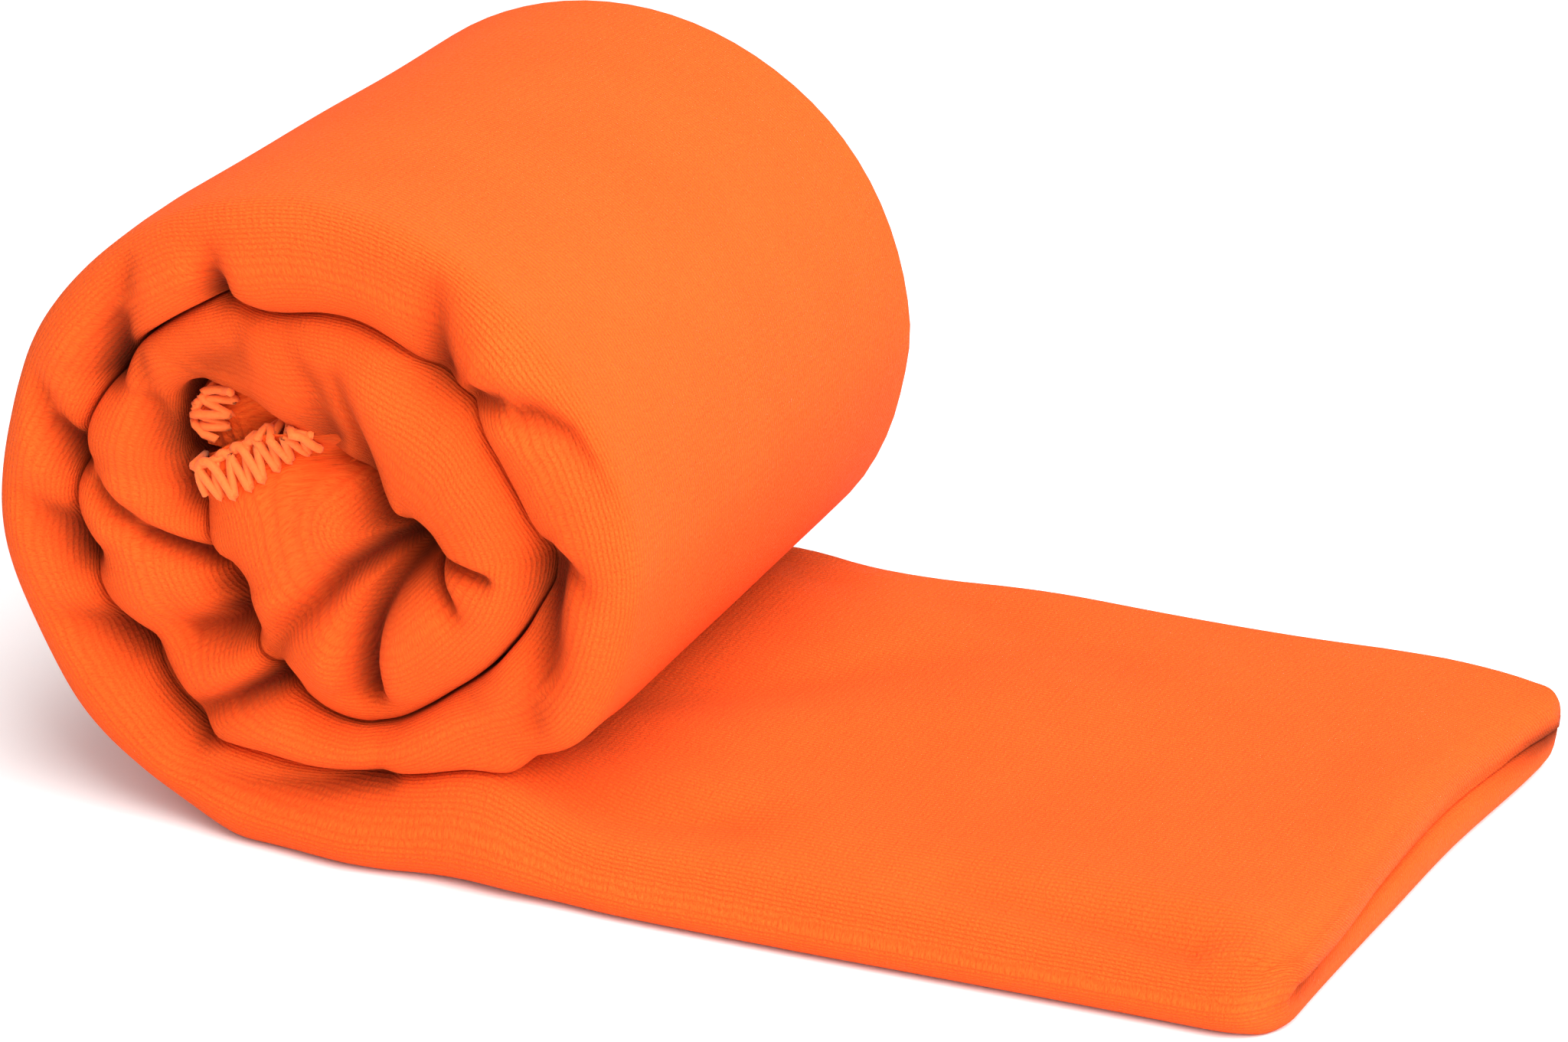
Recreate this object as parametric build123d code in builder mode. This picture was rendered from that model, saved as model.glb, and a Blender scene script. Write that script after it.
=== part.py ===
from build123d import *
from math import atan2, cos, degrees, radians, sin, tan
import os

# A knitted microfibre towel, folded into a soft strip and rolled up from one end.
# The free end of the strip lies flat as a tongue that can be lifted.
# Frame: +X along the tongue, +Y along the roll's axis, +Z up, origin under the middle of the whole.
# Millimetres.

# Cut size of the cloth, and the strip that it folds into: in three, in two, then in two again.
TOWEL_WIDTH = 500.0
STRIP_WIDTH = TOWEL_WIDTH / 6
STRIP_THICKNESS = 9.3
SOFT_GAP = 0.3  # air between pieces that don't share a fold

# The roll
ROLL_RADIUS = 36.0
WRAP_PITCH = STRIP_THICKNESS + SOFT_GAP
TUCK_ANGLE = 25.0  # below the horizontal, where each wrap leaves its circle and tucks in
WRAP_TURN = 270.0 + TUCK_ANGLE
INNER_TURN = 145.0  # how far round the last wrap goes before its hems

# The tongue, measured from below the roll's axis
TONGUE_FAR_REACH = 117.0
TONGUE_NEAR_REACH = 109.0
UPPER_SET_BACK = 3.5  # the upper half of the fold stops short of the lower one
TONGUE_CORNER = 9.0
HINGE_REACH = 45.0

# Edges of the strip
NEAR_EDGE_ROUND = 4.2  # a full soft fold
FAR_EDGE_ROUND = 2.0  # a stack of small folds
HEM_WIDTH = 5.0  # overlocked band along the cut ends

# Places
END_SLANT = atan2(TONGUE_FAR_REACH - TONGUE_NEAR_REACH, STRIP_WIDTH)
TONGUE_TIP = TONGUE_FAR_REACH - TONGUE_CORNER * (tan(END_SLANT) + 1 / cos(END_SLANT) - 1)
LENGTH = ROLL_RADIUS + TONGUE_TIP
ROLL_X = ROLL_RADIUS - LENGTH / 2
HINGE_X = ROLL_X + HINGE_REACH
NEAR_Y = -STRIP_WIDTH / 2
FAR_Y = STRIP_WIDTH / 2
HALF_THICKNESS = STRIP_THICKNESS / 2

os.makedirs("parts", exist_ok=True)


def wrap_radius(turn):
    """Radius of the middle of a wrap, where turn 0 is the outermost."""
    return ROLL_RADIUS - HALF_THICKNESS - turn * WRAP_PITCH


def tuck(turn):
    """Centre and radius of the arc that takes a wrap down onto the floor of the next one inside."""
    radius = wrap_radius(turn)
    next_floor = HALF_THICKNESS + (turn + 1) * WRAP_PITCH
    slope = sin(radians(TUCK_ANGLE))
    tuck_radius = (ROLL_RADIUS - radius * slope - next_floor) / (1 - slope)
    reach = radius - tuck_radius
    centre = (ROLL_X + reach * cos(radians(TUCK_ANGLE)), ROLL_RADIUS - reach * slope)
    return centre, tuck_radius


def wrap_path(turn):
    """The arcs of one wrap and its tuck: centre, radius, first angle and sweep in degrees."""
    centre, tuck_radius = tuck(turn)
    main = ((ROLL_X, ROLL_RADIUS), wrap_radius(turn), -90.0, -WRAP_TURN)
    return [main, (centre, tuck_radius, -90.0 - WRAP_TURN, WRAP_TURN - 360.0)]


def strip_side(path, offset):
    """One side of the strip: the path's arcs with their radii changed by offset."""
    for centre, radius, first, sweep in path:
        CenterArc(centre, radius + offset, first, sweep)


def arc_point(arc, offset, angle):
    """The point of an arc, moved out by offset, at an angle in degrees."""
    centre, radius = arc[0], arc[1] + offset
    return (centre[0] + radius * cos(radians(angle)), centre[1] + radius * sin(radians(angle)))


def close_strip(path, run, low, high):
    """The two ends of the outline. A run is the straight stretch that follows the last arc."""
    first, last = path[0], path[-1]
    Line(arc_point(first, low, first[2]), arc_point(first, high, first[2]))
    end_angle = last[2] + last[3]
    ends = [arc_point(last, offset, end_angle) for offset in (low, high)]
    if run:
        tips = [(x - run, z) for x, z in ends]
        Line(ends[0], tips[0])
        Line(tips[0], tips[1])
        Line(tips[1], ends[1])
    else:
        Line(ends[0], ends[1])


def round_long_edges(part):
    """Softens the two long edges of a wrap: the near one is a full fold."""
    fillet(part.faces().sort_by(Axis.Y)[0].edges().filter_by(GeomType.CIRCLE), NEAR_EDGE_ROUND)
    fillet(part.faces().sort_by(Axis.Y)[-1].edges().filter_by(GeomType.CIRCLE), FAR_EDGE_ROUND)


def save(part, label):
    part.label = label
    export_step(part, f"parts/{label}.step")


# The flat run: the strip from below the roll's axis to the line where the tongue lifts.
RUN_END = HINGE_X - HALF_THICKNESS - SOFT_GAP
with BuildPart() as flat_run:
    with BuildSketch(Plane.YZ.offset(ROLL_X + SOFT_GAP / 2)) as run_section:
        with Locations((0, HALF_THICKNESS)):
            Rectangle(STRIP_WIDTH, STRIP_THICKNESS)
        fillet(run_section.vertices().group_by(Axis.X)[0], NEAR_EDGE_ROUND)
        fillet(run_section.vertices().group_by(Axis.X)[-1], FAR_EDGE_ROUND)
    extrude(amount=RUN_END - ROLL_X - SOFT_GAP / 2)
save(flat_run.part, "flat_run")

# The two full wraps, each running on over the one below it to the next wrap's start.
WRAP_NAMES = ["outer_wrap", "middle_wrap"]
for turn, wrap_name in enumerate(WRAP_NAMES):
    path = wrap_path(turn)
    run = path[1][0][0] - ROLL_X - SOFT_GAP / 2
    with BuildPart() as wrap:
        with BuildSketch(Plane.XZ.offset(-FAR_Y)):
            with BuildLine():
                strip_side(path, HALF_THICKNESS)
                strip_side(path, -HALF_THICKNESS)
                close_strip(path, run, -HALF_THICKNESS, HALF_THICKNESS)
            make_face()
        extrude(amount=STRIP_WIDTH)
        round_long_edges(wrap)
    save(wrap.part, wrap_name)

# The last wrap, which stops at its hems.
INNER_CENTRE = (ROLL_X, ROLL_RADIUS)
INNER_RADIUS = wrap_radius(2)
inner_arc = (INNER_CENTRE, INNER_RADIUS, -90.0, -INNER_TURN)
with BuildPart() as inner_wrap:
    with BuildSketch(Plane.XZ.offset(-FAR_Y)):
        with BuildLine():
            strip_side([inner_arc], HALF_THICKNESS)
            strip_side([inner_arc], -HALF_THICKNESS)
            close_strip([inner_arc], 0, -HALF_THICKNESS, HALF_THICKNESS)
        make_face()
    extrude(amount=STRIP_WIDTH)
    round_long_edges(inner_wrap)
save(inner_wrap.part, "inner_wrap")

# The two overlocked hems on the strip's inner end, one on each half of the lengthwise fold.
HEM_ANGLE = degrees(HEM_WIDTH / INNER_RADIUS)
HEM_GAP_ANGLE = 1.0
HEM_HALF = STRIP_THICKNESS / 4 - SOFT_GAP / 4
hem_arc = (INNER_CENTRE, INNER_RADIUS, -90.0 - INNER_TURN - HEM_GAP_ANGLE, -HEM_ANGLE)
HEM_OFFSETS = {"end_hem_outer": STRIP_THICKNESS / 4, "end_hem_inner": -STRIP_THICKNESS / 4}
for hem_name, middle in HEM_OFFSETS.items():
    low, high = middle - HEM_HALF, middle + HEM_HALF
    with BuildPart() as end_hem:
        with BuildSketch(Plane.XZ.offset(-FAR_Y + FAR_EDGE_ROUND)):
            with BuildLine():
                strip_side([hem_arc], low)
                strip_side([hem_arc], high)
                close_strip([hem_arc], 0, low, high)
            make_face()
        extrude(amount=STRIP_WIDTH - NEAR_EDGE_ROUND - FAR_EDGE_ROUND)
    save(end_hem.part, hem_name)

# The crumpled start of the roll, which fills its core: a small lobe and a larger one to its right.
SMALL_LOBE_RADIUS = 6.5
LARGE_LOBE_RADIUS = 9.2
LARGE_LOBE_PLACE = (ROLL_X + 7.2, ROLL_RADIUS + 2.0)
with BuildPart() as core_bundle:
    with BuildSketch(Plane.XZ.offset(-FAR_Y)):
        with Locations(INNER_CENTRE):
            Circle(SMALL_LOBE_RADIUS)
        with Locations(LARGE_LOBE_PLACE):
            Circle(LARGE_LOBE_RADIUS)
        make_hull()
    extrude(amount=STRIP_WIDTH)
    fillet(core_bundle.faces().sort_by(Axis.Y)[0].edges(), NEAR_EDGE_ROUND)
    fillet(core_bundle.faces().sort_by(Axis.Y)[-1].edges(), FAR_EDGE_ROUND)
save(core_bundle.part, "core_bundle")

# The tongue: two halves of the fold lying on each other, and the soft fold that joins them.
FOLD_LAP = SOFT_GAP  # air between the near fold and the two halves


def tongue_outline(set_back):
    """The tongue seen from above, from its hinge to its slanting end with soft corners."""
    far_x = ROLL_X + TONGUE_FAR_REACH - set_back
    near_x = ROLL_X + TONGUE_NEAR_REACH - set_back
    start_x = HINGE_X - HALF_THICKNESS
    Polyline((start_x, NEAR_Y), (near_x, NEAR_Y), (far_x, FAR_Y), (start_x, FAR_Y), close=True)


def tongue_side():
    """The tongue seen from the side: its hinge end is a half circle about the hinge's axis."""
    with Locations((HINGE_X, HALF_THICKNESS)):
        Circle(HALF_THICKNESS)
    with Locations(((HINGE_X + ROLL_X + TONGUE_FAR_REACH) / 2, HALF_THICKNESS)):
        Rectangle(ROLL_X + TONGUE_FAR_REACH - HINGE_X, STRIP_THICKNESS)


TONGUE_LAYERS = {
    "tongue_lower_half": (0.0, HALF_THICKNESS - SOFT_GAP / 2, 0.0),
    "tongue_upper_half": (HALF_THICKNESS + SOFT_GAP / 2, STRIP_THICKNESS, UPPER_SET_BACK),
}
for layer_name, (low, high, set_back) in TONGUE_LAYERS.items():
    with BuildPart() as tongue_layer:
        with BuildSketch(Plane.XY.offset(low)) as tongue_plan:
            with BuildLine():
                tongue_outline(set_back)
            make_face()
            fillet(tongue_plan.vertices().sort_by(Axis.X)[-2:], TONGUE_CORNER)
        extrude(amount=high - low)
        with BuildSketch(Plane.XZ.offset(-FAR_Y)):
            tongue_side()
        extrude(amount=STRIP_WIDTH, mode=Mode.INTERSECT)
        near_cut = NEAR_Y + HALF_THICKNESS + FOLD_LAP
        split(bisect_by=Plane.XZ.offset(-near_cut), keep=Keep.BOTTOM)
    save(tongue_layer.part, layer_name)

with BuildPart() as tongue_edge_fold:
    with BuildSketch(Plane.YZ.offset(HINGE_X)):
        with Locations((NEAR_Y + HALF_THICKNESS, HALF_THICKNESS)):
            Circle(HALF_THICKNESS)
            Rectangle(HALF_THICKNESS, STRIP_THICKNESS, align=(Align.MIN, Align.CENTER), mode=Mode.SUBTRACT)
    extrude(amount=TONGUE_NEAR_REACH - HINGE_REACH - TONGUE_CORNER)
save(tongue_edge_fold.part, "tongue_edge_fold")
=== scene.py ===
import math

import bmesh
import bpy
import numpy as np
from mathutils import Matrix, Vector
from mathutils.bvhtree import BVHTree


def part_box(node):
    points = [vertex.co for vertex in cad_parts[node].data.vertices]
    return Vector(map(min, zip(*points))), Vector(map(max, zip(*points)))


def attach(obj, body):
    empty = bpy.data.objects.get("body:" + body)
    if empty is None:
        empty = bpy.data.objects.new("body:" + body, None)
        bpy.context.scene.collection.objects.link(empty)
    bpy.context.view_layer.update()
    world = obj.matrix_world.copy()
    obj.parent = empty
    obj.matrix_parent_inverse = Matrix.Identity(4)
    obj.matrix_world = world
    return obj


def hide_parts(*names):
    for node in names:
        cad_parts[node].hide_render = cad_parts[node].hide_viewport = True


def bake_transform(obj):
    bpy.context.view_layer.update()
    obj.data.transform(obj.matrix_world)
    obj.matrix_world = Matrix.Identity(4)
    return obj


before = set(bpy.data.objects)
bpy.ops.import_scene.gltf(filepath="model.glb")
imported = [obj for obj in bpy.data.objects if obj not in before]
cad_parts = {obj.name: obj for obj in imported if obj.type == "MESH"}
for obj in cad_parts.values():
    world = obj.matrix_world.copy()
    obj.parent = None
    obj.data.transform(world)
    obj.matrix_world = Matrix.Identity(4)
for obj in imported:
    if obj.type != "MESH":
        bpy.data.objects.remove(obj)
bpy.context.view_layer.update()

# A quick dry towel: one knitted sheet, folded in three, in two and in two again, then rolled up.
# Lengths are in millimetres until a mesh is made. The frame is the CAD model's.
MM = 0.001


def box_mm(node):
    low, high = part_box(node)
    return np.array(low) / MM, np.array(high) / MM


ROLL_LOW, ROLL_HIGH = box_mm("outer_wrap")
ROLL_X = (ROLL_LOW[0] + ROLL_HIGH[0]) / 2
NEAR_Y = ROLL_LOW[1]
STRIP_WIDTH = ROLL_HIGH[1] - ROLL_LOW[1]
TOWEL_WIDTH = 6 * STRIP_WIDTH
TOWEL_LENGTH = 2 * TOWEL_WIDTH
PANEL = TOWEL_WIDTH / 3
STRIP_LENGTH = TOWEL_LENGTH / 2
THICKNESS = box_mm("flat_run")[1][2]
# The middle of the tongue's slanting end, from the roll's axis: 3 mm short of the CAD tongue's.
TONGUE_END = box_mm("tongue_lower_half")[1][0] - ROLL_X - 3.0

# ---------------------------------------------------------------------------
# Curves


def through(points):
    """A smooth curve without overshoot through (place, value) points."""
    x, y = np.array(points, float).T
    step = np.diff(x)
    slope = np.diff(y) / step
    before, after = slope[:-1], slope[1:]
    same_way = before * after > 0
    tangent = np.concatenate([[slope[0]], np.zeros(len(x) - 2), [slope[-1]]])
    tangent[1:-1][same_way] = (2 * before * after)[same_way] / (before + after)[same_way]

    def curve(place):
        place = np.clip(place, x[0], x[-1])
        i = np.clip(np.searchsorted(x, place, side="right") - 1, 0, len(x) - 2)
        t = (place - x[i]) / step[i]
        from_start = (1 + 2 * t) * (1 - t) ** 2 * y[i] + t * (1 - t) ** 2 * step[i] * tangent[i]
        from_end = t * t * (3 - 2 * t) * y[i + 1] + t * t * (t - 1) * step[i] * tangent[i + 1]
        return from_start + from_end

    return curve


def ramp(q, start, end):
    """0 before start, 1 after end, smooth between."""
    t = np.clip((q - start) / (end - start), 0, 1)
    return t * t * (3 - 2 * t)


def bell(gap, width, power=2):
    """1 where the gap is 0, falling off smoothly on both sides over about a width."""
    return np.exp(-((gap / width) ** power))


# ---------------------------------------------------------------------------
# The roll: the outer face of the strip is one long spiral about the point where the cloth is gathered.
# Turn is in degrees along the spiral: 0 below that point, 90 left, 180 above, 270 right.
GATHER_X, GATHER_Z = 11.0, 36.0  # from the roll's axis and the floor
WRAP_GAP = 0.35
ROLL_RADIUS = 37.15  # the roll is a little flattened where it stands
STANDING_TURN = 20  # up to here the strip lies on the floor
LAST_ROUND_TURN = 268  # up to here the outside of the roll is round
# Then the strip's outer face goes on inwards through these points, X from the roll's axis and Z.
WRAP_LINE = [
    (36.2, 31.1), (34.4, 24.6), (31.9, 19.6), (28.2, 15), (25, 12.4), (22, 10.8), (16, 10.1), (11, 10),
    (5, 9.6), (0, 9.8), (-5, 10.3), (-10, 10.5), (-15, 10.6), (-17.8, 13.6), (-20.2, 17), (-21.8, 19.6),
    (-24.4, 23.4), (-26.9, 28.4), (-28.2, 32.4), (-28.7, 37.5), (-28.4, 39.8), (-26.2, 45.2), (-23, 50.8),
    (-20.6, 53.7), (-16.7, 57.2), (-12.7, 59.7), (-9.8, 61.2), (-6.6, 60.6), (-2.6, 60.3), (2.4, 60.6),
    (6.2, 60), (9.2, 59), (13.2, 56.8), (16.2, 55), (18.7, 53.5), (19.9, 52), (21.2, 49.2), (23, 45.4),
    (24.6, 41.4), (25.4, 38.4), (25.6, 35.2), (24.5, 31), (22.9, 27.8), (19.8, 23.7), (16, 20.4),
    (12.1, 17.6), (8.3, 15.8), (4.4, 15.2), (1.3, 15.5), (-1.8, 16.8), (-4.2, 18.4), (-6.2, 20.7),
    (-8.7, 24.8), (-10.8, 29.6), (-12.2, 34.2), (-13.2, 38), (-16, 42.4)]
# And at last in the core, as turn and radius.
CORE_FACE = [(829, 29.0), (836, 29.6), (846, 28.6), (856, 27.0), (960, 26.0)]


def turn_and_radius(x, z):
    away = np.array([x - GATHER_X, z - GATHER_Z])
    return np.degrees(np.arctan2(-away[0], -away[1])), np.hypot(*away)


def outer_points():
    """Turn and radius of the outer face, one point after another."""
    points = []
    for turn in range(0, LAST_ROUND_TURN, 6):
        aside = GATHER_X * math.sin(math.radians(turn))
        round_radius = aside + math.sqrt(aside**2 + ROLL_RADIUS**2 - GATHER_X**2)
        down = math.cos(math.radians(turn))
        standing = turn < STANDING_TURN or down > 0 and round_radius * down > GATHER_Z
        points.append((turn, GATHER_Z / down if standing else round_radius))
    for x, z in WRAP_LINE:
        turn, radius = turn_and_radius(x, z)
        while turn < points[-1][0]:
            turn += 360
        points.append((turn, radius))
    return points + CORE_FACE


OUTER_FACE = through(outer_points())
# The strip's inner face is the next wrap's outer face up to this turn, and this curve after it.
LAST_SHARED_TURN = 458.0
INNER_END = through([
    (458, 26.2), (463, 28.6), (469, 29.6), (476, 30), (480, 29.4), (484, 27.4), (486, 23.6), (490, 19.4),
    (495, 15.2), (501, 11.8), (513, 7.8), (524, 3.8), (540, 1.2), (570, 1), (960, 1)])
LAST_TURN = 825.0


def inner_face(turn):
    shared = OUTER_FACE(turn + 360) + WRAP_GAP
    return np.where(turn < LAST_SHARED_TURN, shared, INNER_END(turn))


TURNS = np.linspace(0, LAST_TURN, 3400)
MIDDLE = (OUTER_FACE(TURNS) + inner_face(TURNS)) / 2
STEP = np.hypot(MIDDLE * math.radians(TURNS[1] - TURNS[0]), np.gradient(MIDDLE))
TURN_LENGTH = np.concatenate([[0], np.cumsum((STEP[1:] + STEP[:-1]) / 2)])
STRAIGHT = TONGUE_END - GATHER_X  # this much of the strip lies flat
LIP_TAKES_UP = 1.6  # the strip's round folded end takes up this much of its length
SHARED_LENGTH = float(np.interp(LAST_SHARED_TURN, TURNS, TURN_LENGTH))
CORE_LENGTH = STRIP_LENGTH - LIP_TAKES_UP - STRAIGHT - SHARED_LENGTH
CORE_CROWDING = (TURN_LENGTH[-1] - SHARED_LENGTH) / CORE_LENGTH


def turn_at(length):
    """The turn at a length along the strip past the gather point. The core's crumpled cloth is shorter."""
    loose = SHARED_LENGTH + (length - SHARED_LENGTH) * CORE_CROWDING
    return np.interp(np.where(length < SHARED_LENGTH, length, loose), TURN_LENGTH, TURNS)


# ---------------------------------------------------------------------------
# The folds. A point of the flat towel is (across, along). Depth runs from 0 at the strip's outer face
# (its underside in the tongue) to 1 at its inner face. Depth within a half of the fold is 0 to HALF_DEPTH.
HALF_DEPTH = 0.49
THIRD_RANK = {"middle": 1.0, "first": 0.6, "last": 0.2}
HEM_SHY = 0.985  # the folded-in thirds stop a little short of the fold they face


def bend(place, reach):
    """A half turn about 0: how far past the turn, and the angle of the turn from -90 to 90 degrees."""
    inside = np.abs(place) < reach
    angle = np.where(inside, place / reach * math.pi / 2, np.sign(place) * math.pi / 2)
    return np.abs(place) - np.minimum(np.abs(place), reach), angle


def third_fold(past_fold, ply):
    """Place from one of the two folds in three, and rank. The ply that is folded in lies below 0."""
    middle = (THIRD_RANK["middle"] + THIRD_RANK[ply]) / 2
    radius = (THIRD_RANK["middle"] - THIRD_RANK[ply]) / 2
    radius_mm = radius * THICKNESS / 4
    past, angle = bend(past_fold, radius_mm * math.pi / 2)
    place = radius_mm * (1 - np.cos(angle)) + past * np.where(past_fold < 0, HEM_SHY, 1.0)
    return place, middle + radius * np.sin(angle)


def fold_in_three(across):
    """Place across the folded panel, and rank: 1 for the outermost ply of three, 0.2 for the innermost."""
    place_low, rank_low = third_fold(across - PANEL, "first")
    place_high, rank_high = third_fold(2 * PANEL - across, "last")
    near_low = across < 1.5 * PANEL
    return np.where(near_low, place_low, PANEL - place_high), np.where(near_low, rank_low, rank_high)


LIP = THICKNESS / 4 * 1.15  # how far the crosswise fold's round end reaches
# How square the folds' round ends are: 2 is round, more is flatter. In the core the near fold is squarer.
LIP_SQUARENESS, SQUARENESS, CORE_SQUARENESS = 2.8, 2.3, 3.6


def squarish(angle, squareness):
    """Cosine and sine of a turn's angle, pushed out from a circle towards a square."""
    power = 2 / squareness
    return np.clip(np.cos(angle), 0, 1) ** power, np.sign(angle) * np.abs(np.sin(angle)) ** power


def fold_in_two_crosswise(along, rank):
    """Length along the strip from its folded end, and depth within the half of the strip."""
    past, angle = bend(along - TOWEL_LENGTH / 2, LIP * rank * math.pi / 2)
    round_in, round_out = squarish(angle, LIP_SQUARENESS)
    length = LIP * (1 - rank * round_in) + past
    depth = HALF_DEPTH / 2 * (1 + rank * round_out)
    return length, depth


FAR_INSET, FAR_STAGGER = 2.2, 2.0  # at the far end the outer plies stop short, the inner ones reach out


def fold_in_two_lengthwise(place, depth, half_thickness, reach, squareness):
    """Place across the strip from its near fold, and depth through the whole strip."""
    ratio = 1 - 2 * depth
    quarter = ratio * math.pi / 2 * np.sqrt((half_thickness**2 + reach**2) / 2)
    past, angle = bend(place - PANEL / 2, quarter)
    far_edge = STRIP_WIDTH - FAR_INSET + FAR_STAGGER * (1 - ratio)
    stretch = (far_edge - reach) / (PANEL / 2 - quarter)
    round_in, round_out = squarish(angle, squareness)
    y = reach * (1 - ratio * round_in) + past * stretch
    return y, (1 + ratio * round_out) / 2


# ---------------------------------------------------------------------------
# The strip in space
GATHER_THICKNESS = GATHER_Z - float(inner_face(np.array(0.0)))
TONGUE_THICKNESS = through([
    (GATHER_X, GATHER_THICKNESS), (21.5, 10.2), (40, 9.3), (80, 9.0), (105, 9.6), (116, 9.6)])


def strip_thickness(length):
    x = TONGUE_END - length
    turn = turn_at(length - STRAIGHT)
    rolled = OUTER_FACE(turn) - inner_face(turn)
    return np.where(length < STRAIGHT, TONGUE_THICKNESS(x), rolled)


EDGE_REACH, FAT_EDGE_REACH = 3.4, 0.14  # of the near fold's round edge, and its growth where the strip is fat


def edge_reach(length):
    """How far in the near fold's round edge reaches."""
    return EDGE_REACH + FAT_EDGE_REACH * (strip_thickness(length) - THICKNESS).clip(0, 14)


# Where the strip ends in the core: turn against depth, for the half that ends in the hem that shows,
# and for the half behind it.
HEM_TURN = through([
    (0, 823), (0.06, 824), (0.18, 828), (0.3, 837.5), (0.35, 848), (0.42, 864), (0.5, 884), (0.61, 906),
    (0.72, 918), (0.85, 925), (1, 900)])
BEHIND_TURN = through([
    (0, 845), (0.08, 848), (0.15, 854), (0.26, 861), (0.38, 870), (0.51, 884), (0.64, 906), (0.75, 918),
    (0.85, 925), (1, 900)])
SKEW_FROM = 740.0  # from this turn on the strip's end lies askew
# How far the tongue's upper lip and its lower one are set back, from the near edge to the far one.
UPPER_SET_BACK = through([(0, -0.4), (10, -0.6), (30, 1.0), (60, 3.0), (72, 2.6), (80, 0.6), (84, 0.2)])
LOWER_SET_BACK = through([(0, 0.0), (30, 0.5), (55, 1.4), (72, 1.5), (84, 0.6)])
LIPS_FROM = TONGUE_END - 16.0
END_SQUARENESS = 2.2  # of the one round end that the tongue's far corner has
ONE_END = 1.2  # how much of it the two lips are given


def end_share(length):
    """0 before the last stretch of the strip in the core, 1 at its end."""
    return np.clip((turn_at(length - STRAIGHT) - SKEW_FROM) / (LAST_TURN - SKEW_FROM), 0, 1)


def corner_fill(depth):
    """How far the two round lips must be let out to make one round end, at a depth through the strip."""
    within = np.abs(2 * np.where(depth < 0.5, depth, 1 - depth) / HALF_DEPTH - 1).clip(0, 1)
    two_lips = 1 - (1 - within**LIP_SQUARENESS) ** (1 / LIP_SQUARENESS)
    one_end = 1 - (1 - np.abs(2 * depth - 1).clip(0, 1) ** END_SQUARENESS) ** (1 / END_SQUARENESS)
    return LIP * (two_lips - ONE_END * one_end)


def core_turn(length, depth, behind):
    """The turn at a length along the strip, where the strip's end lies askew."""
    end_turn = np.where(behind, BEHIND_TURN(depth), HEM_TURN(depth))
    return turn_at(length - STRAIGHT) + (end_turn - LAST_TURN) * end_share(length) ** 2


def lay(length, depth, behind, y):
    """X and Z of a point of the strip, from the roll's axis and the floor."""
    x = TONGUE_END - length
    turn = core_turn(length, depth, behind)
    radius = OUTER_FACE(turn) * (1 - depth) + inner_face(turn) * depth
    angle = np.radians(-90.0 - turn)
    straight = length < STRAIGHT
    upper_back = UPPER_SET_BACK(y) * ramp(depth, 0.4, 0.62) * ramp(x, LIPS_FROM, TONGUE_END)
    lower_back = LOWER_SET_BACK(y) * (1 - ramp(depth, 0.4, 0.55)) * ramp(x, LIPS_FROM, TONGUE_END)
    px = np.where(straight, x - upper_back - lower_back, GATHER_X + radius * np.cos(angle))
    pz = np.where(straight, depth * TONGUE_THICKNESS(x), GATHER_Z + radius * np.sin(angle))
    return px, pz


def round_corner(px, py, end_x, edge_y, outward, radius):
    """Rounds a corner of the tongue seen from above, by pressing a square onto a quarter of a disc."""
    a = (px - (end_x - radius)) / radius
    b = (py - (edge_y - outward * radius)) * outward / radius
    inside = (a > 0) & (b > 0)
    a, b = np.clip(a, 0, 1.3), np.clip(b, 0, 1.3)
    new_x = end_x - radius + radius * a * np.sqrt(np.clip(1 - b * b / 2, 0.2, 1))
    new_y = edge_y - outward * radius + outward * radius * b * np.sqrt(np.clip(1 - a * a / 2, 0.2, 1))
    return np.where(inside, new_x, px), np.where(inside, new_y, py)


# ---------------------------------------------------------------------------
# Relief: creases and swells of the soft cloth, each a few chosen points. They move every ply alike.


def beside(px, pz, line):
    """Distance from a line of points, side (above 0 on its left), and how far along it, from 0 to 1."""
    line = np.array(line, float)
    lengths = np.hypot(*np.diff(line, axis=0).T)
    starts = np.concatenate([[0], np.cumsum(lengths)])
    best = np.full(px.shape, 1e9)
    side, where = np.zeros(px.shape), np.zeros(px.shape)
    for start, end, length, before in zip(line[:-1], line[1:], lengths, starts):
        way = (end - start) / length
        ahead = np.clip((px - start[0]) * way[0] + (pz - start[1]) * way[1], 0, length)
        dx, dz = px - start[0] - way[0] * ahead, pz - start[1] - way[1] * ahead
        gap = np.hypot(dx, dz)
        nearer = gap < best
        best = np.where(nearer, gap, best)
        side = np.where(nearer, way[0] * dz - way[1] * dx, side)
        where = np.where(nearer, (before + ahead) / starts[-1], where)
    return best, side, where


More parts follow.
